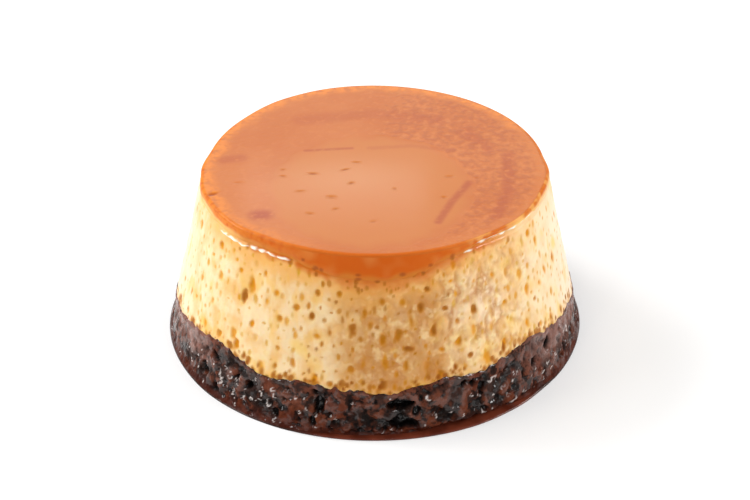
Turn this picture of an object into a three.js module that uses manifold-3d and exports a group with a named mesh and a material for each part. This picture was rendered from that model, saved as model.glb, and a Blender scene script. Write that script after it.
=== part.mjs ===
// A single-serving caramel pudding, turned out of its mould: a cream custard full of bubble pits,
// with a caramel layer that runs over the rim, on a craggy dark sponge base with a film of syrup
// round its foot. Millimetres, +Z up, the front faces -Y, and the origin is under the middle of the
// foot. Angles are in degrees, 0 at the front and 90 at the right-hand side (+X).

import * as THREE from 'three';
import { mergeVertices } from 'three/addons/utils/BufferGeometryUtils.js';
import { ImprovedNoise } from 'three/addons/math/ImprovedNoise.js';
import Module from 'manifold-3d';

const wasm = await Module();
wasm.setup();

// Driving dimensions
const FOOT_RADIUS = 46;
const TOP_RADIUS = 36.7;
const HEIGHT = 39.2;
const GAP = 0.3;              // clearance between neighbouring layers
const COLUMNS = 120;          // columns of faces round the pudding, shared by all the layers

const RIM_ROUNDING = 0.6;     // radius of the rounded top edge
const CARAMEL_THICKNESS = 1.8;
const CARAMEL_PROUD = 0.2;    // how far the caramel stands out from the custard below it
const CARAMEL_BEND = [0.84, 0.92]; // shares of the radius where its underside bends to its edge
const CARAMEL_WAVES = 0.15;
const CARAMEL_WAVE_SIZE = 9;
const CARAMEL_LIP = 0.4;      // height over which its lower edge rounds into the custard
const RIM_TURNS = [30, 60, 90]; // degrees of the rim's rounding at which it has a row
const SPONGE_HEIGHT = 10.6;   // away from its edge
const SPONGE_BEND = [0.55, 0.82];  // shares of the radius where its top bends to its edge
const SPONGE_FOOT_INSET = 1.4; // the sponge's lumps overhang its flat foot by at least this much
const SPONGE_FOOT_HEIGHT = 1.3;
const SPONGE_RECESS = 1.4;    // how much further the foot lies back at the front right
const SPONGE_RECESS_ANGLE = 21;
const SPONGE_RECESS_SPAN = 26;
const FOOT_WAVES = 0.5;
const FOOT_WAVE_SIZE = 5;
const CRAG_DEPTH = 2.5;       // how deep the creases between the sponge's lumps go
const CRAG_SIZE = 3.6;        // half the distance between creases
const CRAG_LEAST = 0.2;       // how far even the highest lump stays inside the mould's cone
const BROAD_CRAGS = 0.5;      // depth of the broader lumps, as a share of the others'
const BROAD_CRAG_TURN = 40;   // they are turned by this much, so that they don't follow the others
const CUSTARD_WAVES = 0.25;
const CUSTARD_WAVE_SIZE = 6;
const FILM_THICKNESS = 0.9;
const FILM_EDGE_THICKNESS = 0.35;
const FILM_EDGE_LEAN = 0.1;

// How far the foot and the rim stand outside or inside a true circle: [angle, offset]
const FOOT_OFFSETS = [
  [-150, 0], [-100, 0.1], [-66, 0.15], [-48, 0.4], [26, 0.35], [40, 0.05], [52, -0.35], [66, -0.3],
  [96, 0], [150, 0],
];
const RIM_OFFSETS = [
  [-164, 0.3], [-146, 0.1], [-124, -0.6], [-102, -0.6], [-86, 0.5], [-74, 1.2], [-50, 1.3],
  [-36, 0.4], [-20, 0.1], [0, 0], [36, 0.2], [53, 0.9], [72, 0.5], [84, 0.7], [97, -0.1], [150, -0.1],
];

// Where the sponge ends and the custard begins on the side: [angle, height]
const SPONGE_EDGE = [
  [-168, 11.4], [-140, 10.3], [-114, 10.9], [-90, 7.3], [-77, 9.5], [-64, 11.1], [-50, 12.6],
  [-32, 10.1], [-20, 11.1], [-8, 10.4], [3, 10.0], [14, 11.4], [22, 12.0], [31, 11.4], [49, 13.2],
  [58, 11.6], [72, 10.5], [88, 8.4], [104, 9.8], [122, 12.0], [146, 10.4],
];
// Where the caramel ends on the side, with its long tongue at the front: [angle, height]
const CARAMEL_EDGE = [
  [-170, 36.6], [-146, 36.2], [-120, 36.9], [-90, 36.9], [-70, 36.7], [-50, 36.3], [-28, 36.2],
  [-20, 34.9], [-11, 33.7], [2, 33.3], [9, 33.8], [15, 34.6], [21, 36.2], [28, 36.7], [35, 37.2],
  [60, 37.3], [95, 37.1], [122, 36.5], [150, 36.8],
];
// Bubble pits of the custard, the larger kind first: how many, and their least and greatest width
const PIT_KINDS = [
  { count: 21, widths: [1.5, 2.0] },
  { count: 78, widths: [0.9, 1.5] },
];
const PIT_STRETCH = [1, 1.8]; // a pit's length up the side, as a share of its width
const PIT_SPACING = 2.9;
const PIT_MARGIN = 2.2;       // distance from a pit's middle to the custard's upper or lower edge
const PIT_CROWDING = 1.3;     // above 1, the scattered pits crowd towards the sponge
const PIT_SEED = 7;
// Deep holes torn in the sponge: [angle, height, width, length up the side]
const SPONGE_HOLES = [
  [-150, 5.2, 4.0, 3.0], [-118, 4.6, 3.2, 3.4], [-86, 4.4, 2.8, 2.4], [-54, 4.6, 3.2, 2.8],
  [-50, 9.0, 2.6, 2.4], [-37, 6.4, 2.6, 2.2], [-15, 6.6, 2.8, 4.4], [6.5, 7.4, 6.8, 2.4],
  [6.5, 3.3, 7.2, 2.6], [30, 7.4, 2.6, 2.2], [50, 7.1, 2.6, 2.2], [67, 5.0, 2.8, 2.4],
  [95, 5.0, 3.6, 2.8], [128, 5.2, 3.4, 3.2], [165, 5.8, 3.8, 3.0],
];
const HOLE_DEPTH = 0.55;      // share of a hole's or pit's width
const HOLE_SUNK = 0.3;        // share of its depth that its middle lies under the surface

const {
  degToRad, radToDeg, lerp, smoothstep, seededRandom, euclideanModulo,
} = THREE.MathUtils;
const noise = new ImprovedNoise();

// Smooth closed run through [angle, value] points, once round the pudding.
function around(points) {
  return (angle) => {
    const last = points.length - 1;
    let at = points.findIndex(([start]) => angle < start);
    if (at < 0) at = points.length;
    const [startAngle, startValue] = at > 0 ? points[at - 1] : points[last];
    const [endAngle, endValue] = at <= last ? points[at] : points[0];
    const span = euclideanModulo(endAngle - startAngle, 360);
    const share = euclideanModulo(angle - startAngle, 360) / span;
    return lerp(startValue, endValue, smoothstep(share, 0, 1));
  };
}

// 1 at an angle, fading to 0 at a distance of `width` degrees from it.
function near(angle, centre, width) {
  const away = Math.abs(euclideanModulo(angle - centre + 180, 360) - 180);
  return 1 - smoothstep(away, 0, width);
}

const footOffset = around(FOOT_OFFSETS);
const rimOffset = around(RIM_OFFSETS);
const spongeEdge = around(SPONGE_EDGE);
const caramelEdge = around(CARAMEL_EDGE);

// The mould's cone, slightly out of round as a soft pudding stands.
function mouldRadius(angle, height) {
  return lerp(FOOT_RADIUS + footOffset(angle), TOP_RADIUS + rimOffset(angle), height / HEIGHT);
}

// Rounded lumps with sharp creases between them, from 0 in a crease to about 1 on a lump.
function lumps(angle, height, size) {
  const radians = degToRad(angle);
  const reach = FOOT_RADIUS / size;
  return Math.abs(noise.noise(reach * Math.sin(radians), reach * Math.cos(radians), height / size)) * 2;
}

function custardRadius(angle, height) {
  const waves = CUSTARD_WAVES * lumps(angle, height, CUSTARD_WAVE_SIZE);
  return mouldRadius(angle, height) - CARAMEL_PROUD - waves;
}

function caramelRadius(angle, height) {
  return mouldRadius(angle, height) + CARAMEL_WAVES * lumps(angle, height, CARAMEL_WAVE_SIZE);
}

function spongeRadius(angle, height) {
  const coarse = CRAG_DEPTH * lumps(angle, height, CRAG_SIZE);
  const broad = BROAD_CRAGS * CRAG_DEPTH * lumps(angle + BROAD_CRAG_TURN, height, 2 * CRAG_SIZE);
  return mouldRadius(angle, height) - Math.max(CRAG_LEAST, CRAG_DEPTH - coarse - broad);
}

function footRadius(angle) {
  const recess = SPONGE_RECESS * near(angle, SPONGE_RECESS_ANGLE, SPONGE_RECESS_SPAN);
  const waves = FOOT_WAVES * lumps(angle, 0, FOOT_WAVE_SIZE);
  return mouldRadius(angle, 0) - SPONGE_FOOT_INSET - recess - waves;
}

// The layers' shared faces: the height at an angle and a share of the radius.
function spongeTop(angle, share) {
  return lerp(SPONGE_HEIGHT, spongeEdge(angle), smoothstep(share, SPONGE_BEND[0], 1));
}

function caramelUnder(angle, share) {
  const flat = HEIGHT - CARAMEL_THICKNESS;
  return lerp(flat, caramelEdge(angle), smoothstep(share, CARAMEL_BEND[0], 1));
}

// A closed mesh of merged points without the faces that collapse on the axis.
function closed(geometry) {
  geometry.deleteAttribute('normal');
  geometry.deleteAttribute('uv');
  const merged = mergeVertices(geometry, 1e-4);
  const kept = [];
  for (let i = 0; i < merged.index.count; i += 3) {
    const [a, b, c] = [0, 1, 2].map((corner) => merged.index.getX(i + corner));
    if (a !== b && b !== c && c !== a) kept.push(a, b, c);
  }
  merged.setIndex(kept);
  return merged;
}

// A body of revolution whose rows may rise, fall and bulge on the way round. Each row is a function
// of the angle that gives [radius, height]; the rows run from the underside out and up to the top.
function turned(rows) {
  const profile = rows.map((row) => new THREE.Vector2(...row(0)));
  const geometry = new THREE.LatheGeometry(profile, COLUMNS);
  const position = geometry.attributes.position;
  for (let column = 0; column <= COLUMNS; column += 1) {
    const turn = column % COLUMNS / COLUMNS * 2 * Math.PI;
    const angle = euclideanModulo(radToDeg(turn) + 180, 360) - 180;
    rows.forEach((row, index) => {
      const [radius, height] = row(angle);
      position.setXYZ(column * rows.length + index, radius * Math.sin(turn), height,
        radius * Math.cos(turn));
    });
  }
  geometry.rotateX(Math.PI / 2);
  return closed(geometry);
}

function solid(geometry) {
  return new wasm.Manifold(new wasm.Mesh({
    numProp: 3,
    vertProperties: new Float32Array(geometry.attributes.position.array),
    triVerts: new Uint32Array(geometry.index.array),
  }));
}

function geometryOf(body) {
  const mesh = body.getMesh();
  const geometry = new THREE.BufferGeometry();
  geometry.setAttribute('position', new THREE.BufferAttribute(mesh.vertProperties, 3));
  geometry.setIndex(new THREE.BufferAttribute(mesh.triVerts, 1));
  return geometry;
}

// An egg-shaped hollow whose middle lies just under the surface at an angle and a height.
function hollow(angle, height, width, length, surfaceRadius) {
  const depth = HOLE_DEPTH * width;
  const geometry = closed(new THREE.OctahedronGeometry(1, 1));
  geometry.scale(width / 2, depth, length / 2);
  geometry.translate(0, HOLE_SUNK * depth - surfaceRadius(angle, height), height);
  geometry.rotateZ(degToRad(angle));
  return solid(geometry);
}

function cutAll(body, cutters) {
  return cutters.reduce((rest, cutter) => rest.subtract(cutter), body);
}

function sidePoint([angle, height]) {
  const radius = mouldRadius(angle, height);
  return new THREE.Vector3(radius * Math.sin(degToRad(angle)), -radius * Math.cos(degToRad(angle)), height);
}

// Pits scattered over the side, the larger kind first, clear of each other.
function scatteredPits() {
  const pits = [];
  seededRandom(PIT_SEED);
  for (const { count, widths } of PIT_KINDS) {
    const total = pits.length + count;
    while (pits.length < total) {
      const angle = lerp(-180, 180, seededRandom());
      const low = spongeEdge(angle) + PIT_MARGIN;
      const high = caramelEdge(angle) - PIT_MARGIN;
      const height = lerp(low, high, seededRandom() ** PIT_CROWDING);
      const width = lerp(...widths, seededRandom());
      const pit = [angle, height, width, width * lerp(...PIT_STRETCH, seededRandom())];
      const place = sidePoint(pit);
      if (pits.every((other) => place.distanceTo(sidePoint(other)) > PIT_SPACING)) pits.push(pit);
    }
  }
  return pits;
}

function spongeBase() {
  const wallRows = 7;
  const rows = [
    () => [0, 0],
    (angle) => [footRadius(angle), 0],
    (angle) => [footRadius(angle), SPONGE_FOOT_HEIGHT],
  ];
  for (let row = 1; row <= wallRows; row += 1) {
    rows.push((angle) => {
      const height = lerp(SPONGE_FOOT_HEIGHT, spongeEdge(angle), row / wallRows);
      return [spongeRadius(angle, height), height];
    });
  }
  rows.push((angle) => [SPONGE_BEND[1] * footRadius(angle), spongeTop(angle, SPONGE_BEND[1])]);
  rows.push((angle) => [0, spongeTop(angle, 0)]);
  const holes = SPONGE_HOLES.map((hole) => hollow(...hole, spongeRadius));
  return geometryOf(cutAll(solid(turned(rows)), holes));
}

function custard() {
  const wallRows = 5;
  const under = (angle, share) => spongeTop(angle, share) + GAP;
  const over = (angle, share) => caramelUnder(angle, share) - GAP;
  const rows = [
    (angle) => [0, under(angle, 0)],
    (angle) => [SPONGE_BEND[1] * footRadius(angle), under(angle, SPONGE_BEND[1])],
  ];
  for (let row = 0; row <= wallRows; row += 1) {
    rows.push((angle) => {
      const height = lerp(under(angle, 1), over(angle, 1), row / wallRows);
      return [custardRadius(angle, height), height];
    });
  }
  for (const share of CARAMEL_BEND.toReversed()) {
    rows.push((angle) => [share * TOP_RADIUS, over(angle, share)]);
  }
  rows.push((angle) => [0, over(angle, 0)]);
  const pits = scatteredPits().map((pit) => hollow(...pit, custardRadius));
  return geometryOf(cutAll(solid(turned(rows)), pits));
}

function caramelTop() {
  const shoulder = HEIGHT - RIM_ROUNDING;
  const rows = [
    (angle) => [0, caramelUnder(angle, 0)],
    ...CARAMEL_BEND.map((share) => (angle) => [share * TOP_RADIUS, caramelUnder(angle, share)]),
    (angle) => [custardRadius(angle, caramelEdge(angle)), caramelEdge(angle)],
    (angle) => [caramelRadius(angle, caramelEdge(angle)), caramelEdge(angle) + CARAMEL_LIP],
    (angle) => [caramelRadius(angle, shoulder), shoulder],
  ];
  for (const turn of RIM_TURNS) {
    rows.push((angle) => {
      const inward = RIM_ROUNDING * (1 - Math.cos(degToRad(turn)));
      const rise = RIM_ROUNDING * Math.sin(degToRad(turn));
      return [caramelRadius(angle, shoulder) - inward, shoulder + rise];
    });
  }
  rows.push(() => [0, HEIGHT]);
  return turned(rows);
}

function syrupFilm() {
  const inner = (angle) => footRadius(angle) + GAP;
  return turned([
    (angle) => [inner(angle), 0],
    (angle) => [mouldRadius(angle, 0), 0],
    (angle) => [mouldRadius(angle, 0) - FILM_EDGE_LEAN, FILM_EDGE_THICKNESS],
    (angle) => [inner(angle), FILM_THICKNESS],
    (angle) => [inner(angle), 0],
  ]);
}

function part(name, geometry, colour, roughness) {
  const material = new THREE.MeshStandardMaterial({ color: colour, roughness, metalness: 0 });
  const mesh = new THREE.Mesh(geometry, material);
  mesh.name = name;
  return mesh;
}

const pudding = new THREE.Group();
pudding.add(
  part('cake_base', spongeBase(), 0x4e281d, 0.4),
  part('custard', custard(), 0xf3cb8e, 0.45),
  part('caramel_top', caramelTop(), 0xdd8a4c, 0.2),
  part('syrup_foot', syrupFilm(), 0x5b281a, 0.2),
);

export default pudding;
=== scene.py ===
"""A caramel pudding turned out of its mould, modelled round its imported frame.

Cream custard full of bubble pits stands on a craggy, soaked sponge, under a glossy layer of caramel
that runs over the rim, in a thin film of syrup. Lengths in the making are millimetres. Angles are
degrees, 0 at the front (-Y) and 90 at the right-hand side (+X). Each finished mesh is in metres.
"""

import math

import bmesh
import bpy
import numpy as np
from mathutils import Matrix, Vector, noise


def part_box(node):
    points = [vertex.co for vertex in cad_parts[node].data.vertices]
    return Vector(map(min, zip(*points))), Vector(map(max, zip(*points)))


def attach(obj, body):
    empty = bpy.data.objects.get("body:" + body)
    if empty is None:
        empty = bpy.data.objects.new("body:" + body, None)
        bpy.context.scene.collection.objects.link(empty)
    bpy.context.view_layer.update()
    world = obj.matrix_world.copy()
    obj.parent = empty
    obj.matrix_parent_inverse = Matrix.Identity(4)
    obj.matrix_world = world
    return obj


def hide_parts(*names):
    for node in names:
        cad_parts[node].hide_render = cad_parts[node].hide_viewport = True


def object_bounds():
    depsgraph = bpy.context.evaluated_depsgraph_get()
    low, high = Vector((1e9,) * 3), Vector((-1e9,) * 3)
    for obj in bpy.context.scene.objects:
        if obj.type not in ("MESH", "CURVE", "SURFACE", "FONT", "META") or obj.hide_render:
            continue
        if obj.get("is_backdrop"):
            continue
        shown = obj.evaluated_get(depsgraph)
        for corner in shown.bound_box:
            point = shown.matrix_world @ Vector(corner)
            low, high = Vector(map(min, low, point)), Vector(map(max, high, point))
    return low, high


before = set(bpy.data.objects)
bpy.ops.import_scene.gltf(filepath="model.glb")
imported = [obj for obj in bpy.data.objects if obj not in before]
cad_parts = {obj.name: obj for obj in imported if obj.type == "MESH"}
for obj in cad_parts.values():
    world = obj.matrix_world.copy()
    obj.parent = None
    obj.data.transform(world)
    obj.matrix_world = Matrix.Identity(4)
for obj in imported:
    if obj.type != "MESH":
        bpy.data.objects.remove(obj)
cad_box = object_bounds()

MM = 0.001
DETAIL = 1.0   # share of the columns round each piece

# --- Sizes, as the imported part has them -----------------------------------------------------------

FOOT_RADIUS = 46.0
TOP_RADIUS = 36.7
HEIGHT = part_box("caramel_top")[1].z / MM
RIM_ROUNDING = 0.6
CARAMEL_PROUD = 0.2   # how far the caramel stands out past the custard

# How far the foot and the rim stand outside or inside a true circle: (angle, offset)
FOOT_OFFSETS = [
    (-150, 0), (-100, 0.1), (-66, 0.15), (-48, 0.4), (26, 0.35), (40, 0.05), (52, -0.35),
    (66, -0.3), (96, 0), (150, 0),
]
RIM_OFFSETS = [
    (-164, 0.3), (-146, 0.1), (-124, -0.6), (-102, -0.6), (-86, 0.5), (-74, 1.2), (-50, 1.3),
    (-36, 0.4), (-20, 0.1), (0, 0), (36, 0.2), (53, 0.9), (72, 0.5), (84, 0.7), (97, -0.1),
    (150, -0.1),
]

# Where the sponge ends and the custard begins on the side: (angle, height)
SPONGE_EDGE = [
    (-168, 11.4), (-140, 10.3), (-114, 10.9), (-90, 7.3), (-77, 9.5), (-64, 11.1), (-50, 12.6),
    (-32, 10.1), (-20, 11.1), (-8, 10.4), (3, 10.0), (14, 11.4), (22, 12.0), (31, 11.4), (49, 13.2),
    (58, 11.6), (72, 10.5), (88, 8.4), (104, 9.8), (122, 12.0), (146, 10.4),
]
# Where the caramel ends on the side, with its long tongue at the front: (angle, height)
CARAMEL_EDGE = [
    (-170, 36.6), (-146, 36.2), (-120, 36.9), (-90, 36.9), (-70, 36.7), (-50, 36.3), (-28, 36.2),
    (-20, 34.9), (-11, 33.7), (2, 33.3), (9, 33.8), (15, 34.6), (21, 36.2), (28, 36.7), (35, 37.2),
    (60, 37.3), (95, 37.1), (122, 36.5), (150, 36.8),
]

# --- Shape helpers --------------------------------------------------------------------------------

ON_SIDE = 0.99    # vertices further out than this share of the radius are on the side
HALF_WAY = 0.5    # share of the radius where a flat end starts to bend to meet the side


def smooth(low, high, value):
    """0 below low, 1 above high, and a smooth step between them."""
    share = np.clip((value - low) / (high - low), 0, 1)
    return share * share * (3 - 2 * share)


def turn_between(angles, centre):
    """The signed turn from centre to each angle, -180 to 180."""
    return (angles - centre + 180) % 360 - 180


def near(angles, centre, width):
    """1 at an angle, fading to 0 at a distance of width degrees from it."""
    return 1 - smooth(0, width, np.abs(turn_between(angles, centre)))


def stretch(angles, first, last, fade):
    """1 from a first to a last angle, fading to 0 within fade degrees outside them."""
    half = (last - first) / 2
    return 1 - smooth(half, half + fade, np.abs(turn_between(angles, first + half)))


def in_patches(angles, places):
    """How strongly each angle lies in patches, each given as (middle, reach, strength)."""
    return sum(strength * near(angles, middle, reach) for middle, reach, strength in places)


def around(points, angles):
    """A smooth closed run through (angle, value) points, once round the pudding."""
    starts = np.array([angle for angle, _ in points], float)
    values = np.array([value for _, value in points], float)
    at = np.searchsorted(starts, angles, side="right") - 1
    after = (at + 1) % len(points)
    share = smooth(0, 1, ((angles - starts[at]) % 360) / ((starts[after] - starts[at]) % 360))
    return values[at] * (1 - share) + values[after] * share


def mould_radius(angles, heights):
    """The mould's cone, slightly out of round as a soft pudding stands."""
    share = heights / HEIGHT
    at_foot = FOOT_RADIUS + around(FOOT_OFFSETS, angles)
    at_top = TOP_RADIUS + around(RIM_OFFSETS, angles)
    return at_foot * (1 - share) + at_top * share


def side_places(angles, radii, heights):
    """The (x, y, z) places at these angles, distances from the middle and heights."""
    turns = np.radians(angles)
    return np.stack([radii * np.sin(turns), -radii * np.cos(turns), heights], axis=1)


def grain(places, size, seed):
    """Soft noise, about -1 to 1, whose lumps are half of size across."""
    shift = Vector((17.3 * seed, -9.1 * seed, 5.7 * seed))
    return np.array([noise.noise(Vector(place) / size + shift) for place in places])


def billows(places, size, seed):
    """Rounded swellings with sharp creases between them, about 0 in a crease and 1 on top."""
    shift = Vector((5.1 * seed, 13.3 * seed, -4.9 * seed))
    return np.array([noise.turbulence(Vector(place) / size + shift, 3, True) for place in places])


def only_on(mask, values):
    """Values worked out for a mask's places only, and 0 for the rest."""
    full = np.zeros(len(mask))
    full[mask] = values
    return full


def raise_to(values, where, least):
    """Lifts the values at some places to at least these."""
    values[where] = np.maximum(values[where], least)


def sideways(angles, angle, half_width, radius=FOOT_RADIUS):
    """How far round the side from a thing at an angle, in half widths of it."""
    return np.radians(turn_between(angles, angle)) * radius / half_width


def spread(first, last, count):
    """Numbers from first to last in count even steps."""
    return [first + (last - first) * step / count for step in range(count + 1)]


def drum(side_rows, ring):
    """The rows of a body with flat ends, with a ring of vertices close to the side in each end."""
    floor = [(0, 0), (HALF_WAY, 0), (ring, 0)]
    ceiling = [(ring, 1), (HALF_WAY, 1), (0, 1)]
    return floor + [(1, up) for up in side_rows] + ceiling


def turned(rows, columns):
    """A fine grid rolled up into a round body: rows are (share of radius, share of height)."""
    form = bmesh.new()
    last = len(rows) - 1
    columns = round(columns * DETAIL)
    bmesh.ops.create_grid(form, x_segments=columns, y_segments=last, size=0.5)
    for vert in form.verts:
        turn = (vert.co.x + 0.5) * 2 * math.pi
        across, up = rows[round((vert.co.y + 0.5) * last)]
        vert.co = (across * math.sin(turn), -across * math.cos(turn), up)
    bmesh.ops.remove_doubles(form, verts=form.verts, dist=1e-6)
    bmesh.ops.recalc_face_normals(form, faces=form.faces)
    return form


def new_object(name, form, material):
    """Makes an object of a bmesh and shows it in the scene."""
    mesh = bpy.data.meshes.new(name)
    form.to_mesh(mesh)
    form.free()
    mesh.materials.append(material)
    made = bpy.data.objects.new(name, mesh)
    bpy.context.scene.collection.objects.link(made)
    return made


def finished(name, form, material, node):
    """Makes a smooth piece that rides on the body in a node's stead, and returns its mesh."""
    piece = new_object(name, form, material)
    piece.data.shade_smooth()
    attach(piece, "root")
    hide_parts(node)
    return piece.data


def coordinates(mesh):
    """The places of a mesh's vertices, one row each."""
    flat = np.empty(len(mesh.vertices) * 3)
    mesh.vertices.foreach_get("co", flat)
    return flat.reshape(-1, 3)


def place_vertices(mesh, places):
    """Moves a mesh's vertices to these places, given in millimetres."""
    mesh.vertices.foreach_set("co", (places * MM).ravel())
    mesh.update()


def paint(mesh, name, values):
    """Stores one number a vertex, which the material reads by its name."""
    layer = mesh.attributes.new(name, "FLOAT", "POINT")
    layer.data.foreach_set("value", np.asarray(values, np.float32))


def polar(places):
    """Angle, radius and height of each place."""
    angles = np.degrees(np.arctan2(places[:, 0], -places[:, 1]))
    return angles, np.hypot(places[:, 0], places[:, 1]), places[:, 2]


# --- Shader helpers -------------------------------------------------------------------------------


class Socket:
    """A node's output that takes part in sums: each sum adds a Math node."""

    def __init__(self, shader, output):
        self.shader = shader
        self.output = output

    def maths(self, operation, *values):
        return self.shader.node("Math", {"operation": operation}, dict(enumerate(values)))

    def __add__(self, other):
        return self.maths("ADD", self, other)

    def __sub__(self, other):
        return self.maths("SUBTRACT", self, other)

    def __rsub__(self, other):
        return self.maths("SUBTRACT", other, self)

    def __mul__(self, other):
        return self.maths("MULTIPLY", self, other)

    def __truediv__(self, other):
        return self.maths("DIVIDE", self, other)

    __radd__ = __add__
    __rmul__ = __mul__

    def clamped(self):
        return self.shader.node("Clamp", {}, {0: self})

    def vein(self, width):
        """1 where noise crosses its middle value, falling to 0 within width of it."""
        gap = self - 0.5
        return (1 - gap.maths("ABSOLUTE", gap) / width).clamped()

    def rising(self, low, high):
        """0 below low and 1 above high, with a smooth step between them."""
        return self.shader.node(
            "MapRange", {"interpolation_type": "SMOOTHSTEP"}, {0: self, 1: low, 2: high},
        )


class Shader:
    """One material, its Principled BSDF, and the one method that adds its other nodes."""

    def __init__(self, name):
        self.material = bpy.data.materials.new(name)
        self.material.use_nodes = True
        self.tree = self.material.node_tree
        self.surface = self.tree.nodes["Principled BSDF"]

    def node(self, kind, settings, values, output=0):
        made = self.tree.nodes.new("ShaderNode" + kind)
        for setting, value in settings.items():
            setattr(made, setting, value)
        for key, value in values.items():
            self.connect(made, key, value)
        return Socket(self, made.outputs[output])

    def connect(self, node, key, value):
        if isinstance(value, Socket):
            self.tree.links.new(value.output, node.inputs[key])
        else:
            node.inputs[key].default_value = value

    def set(self, **values):
        """Sets or links sockets of the Principled BSDF, such as Base_Color=socket."""
        for key, value in values.items():
            self.connect(self.surface, key.replace("_", " "), value)

    def painted(self, name):
        """What paint() stored under a name."""
        return self.node("Attribute", {"attribute_name": name}, {}, output=2)

    def place(self):
        """Where a point is, in the object's own coordinates."""
        return self.node("TexCoord", {}, {}, output=3)

    def stretched(self, share):
        """Where a point is, with heights squeezed so that a pattern runs up the side."""
        values = {0: self.place(), 1: (1, 1, share)}
        return self.node("VectorMath", {"operation": "MULTIPLY"}, values)

    def noise(self, size, detail, roughness=0.5, place=None):
        """Noise, 0 to 1, whose lumps are half of size (in millimetres) across."""
        values = {
            "Vector": place or self.place(), "Scale": 1 / (size * MM),
            "Detail": detail, "Roughness": roughness,
        }
        return self.node("TexNoise", {}, values)

    def blend(self, share, low, high):
        """A colour between low and high."""
        return self.node("Mix", {"data_type": "RGBA"}, {0: share, 6: low, 7: high}, output=2)

    def stained(self, base, **stains):
        """A colour with painted stains laid over it in turn, such as rust=(152, 80, 0)."""
        for name, tint in stains.items():
            base = self.blend(self.painted(name), base, colour(*tint))
        return base

    def bump(self, height, depth):
        """Relief from a height of 0 to 1 that stands for a depth in millimetres."""
        return self.node("Bump", {}, {"Height": height, "Distance": depth * MM})


def colour(red, green, blue):
    """A colour as an eye reads it, 0 to 255, as the shader's linear numbers."""
    parts = [part / 255 for part in (red, green, blue)]
    linear = [p / 12.92 if p <= 0.04045 else ((p + 0.055) / 1.055) ** 2.4 for p in parts]
    return (*linear, 1.0)


# --- Materials ------------------------------------------------------------------------------------


def custard_material():
    skin = Shader("custard")
    mottle = skin.noise(6, detail=3)
    clouds = skin.noise(4.4, detail=2, place=skin.stretched(0.6))
    glints = skin.noise(3.4, detail=2, place=skin.stretched(0.5))
    streaks = skin.noise(2.2, detail=3, place=skin.stretched(0.25))
    shreds = skin.noise(2.8, detail=2)
    dull = skin.noise(3.6, detail=3, place=skin.stretched(0.7))
    creases = skin.noise(3.0, detail=2)
    fine = skin.noise(1.0, detail=2)
    torn = skin.painted("torn")
    base = skin.blend(mottle.rising(0.38, 0.62), colour(243, 214, 167), colour(237, 190, 122))
    base = skin.blend(clouds.rising(0.5, 0.66) * 0.4, base, colour(247, 222, 178))
    base = skin.blend(streaks.rising(0.5, 0.72) * 0.4, base, colour(249, 230, 188))
    # Painted light: the flanks that face the side lights are laid paler, and the torn face gets a
    # paler patch.
    base = skin.stained(base, pale=(251, 228, 200))
    base = skin.blend(glints.rising(0.56, 0.7) * 0.5, base, colour(242, 190, 84))
    # The brown front is partly caramel soaked in and partly painted shade, where it lies between the
    # side lights.
    tan = skin.painted("tan") * (0.2 + 1.4 * dull).clamped()
    base = skin.blend(tan, base, colour(203, 143, 73))
    base = skin.blend(torn * dull.rising(0.5, 0.66) * 0.32, base, colour(208, 149, 80))
    base = skin.blend(torn * shreds.rising(0.5, 0.64) * 0.6, base, colour(250, 222, 166))
    # Thin dark strokes over the torn skin, painted as shadows of its flakes.
    strokes = creases.vein(0.1) * clouds.rising(0.48, 0.6)
    base = skin.blend(torn * strokes * 0.7, base, colour(186, 116, 46))
    # Painted shade in the creases between the torn flakes.
    base = skin.stained(base, crease=(198, 132, 64))
    base = skin.blend(skin.painted("yellow") * 0.75, base, colour(244, 198, 76))
    # Among these stains, the near-white bead colour is a painted highlight on the raised glossy
    # beads.
    base = skin.stained(
        base, golden=(238, 173, 86), olive=(210, 154, 18), amber=(222, 145, 0),
        soaked=(208, 108, 24), rust=(152, 80, 0), bead=(255, 246, 228),
    )
    skin.set(
        Base_Color=base,
        Roughness=0.5,
        Specular_IOR_Level=0.12,
        Coat_Weight=skin.painted("wet"),
        Coat_Roughness=0.12,
        Coat_IOR=1.5,
        Subsurface_Weight=0.35,
        Subsurface_Scale=0.0014,
        Subsurface_Radius=(1.0, 0.5, 0.2),
        Normal=skin.bump(fine, 0.14),
    )
    return skin.material


def caramel_material():
    glaze = Shader("caramel")
    broad = glaze.noise(16, detail=3)
    speckle = glaze.noise(1.7, detail=1.5)
    grains = glaze.painted("grainy") * speckle
    base = glaze.blend(broad.rising(0.35, 0.7), colour(190, 101, 34), colour(196, 110, 47))
    # The centre colour is a painted sheen, standing for a reflection in the pool.
    base = glaze.stained(base, pool=(195, 114, 45), centre=(200, 128, 74))
    base = glaze.blend(grains.rising(0.46, 0.62) * 0.4, base, colour(166, 82, 36))
    light_grains = glaze.painted("grainy") * (1 - speckle).rising(0.54, 0.68)
    base = glaze.blend(light_grains * 0.3, base, colour(216, 132, 66))
    marks = glaze.painted("marks") * speckle.rising(0.15, 0.5)
    base = glaze.blend(marks, base, colour(170, 74, 26))
    base = glaze.stained(base, side=(206, 92, 6), thin=(206, 118, 34))
    margin = glaze.painted("margin") * speckle.rising(0.25, 0.6)
    base = glaze.blend(margin, base, colour(224, 130, 42))
    # The dark in the dents is painted shade; the specks at the tongue are real.
    # The near-white bead colour is a painted highlight on the glossy beads.
    base = glaze.stained(base, golden=(240, 184, 104), bead=(255, 240, 214), blots=(154, 66, 14))
    glaze.set(
        Base_Color=base,
        Roughness=0.4,
        Specular_IOR_Level=0.1,
        Coat_Weight=glaze.painted("gloss"),
        Coat_Roughness=0.1,
        Coat_IOR=1.36,
        Subsurface_Weight=0.15,
        Subsurface_Scale=0.0015,
        Subsurface_Radius=(1.0, 0.4, 0.15),
        Normal=glaze.bump(grains, 0.3),
    )
    return glaze.material


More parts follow.
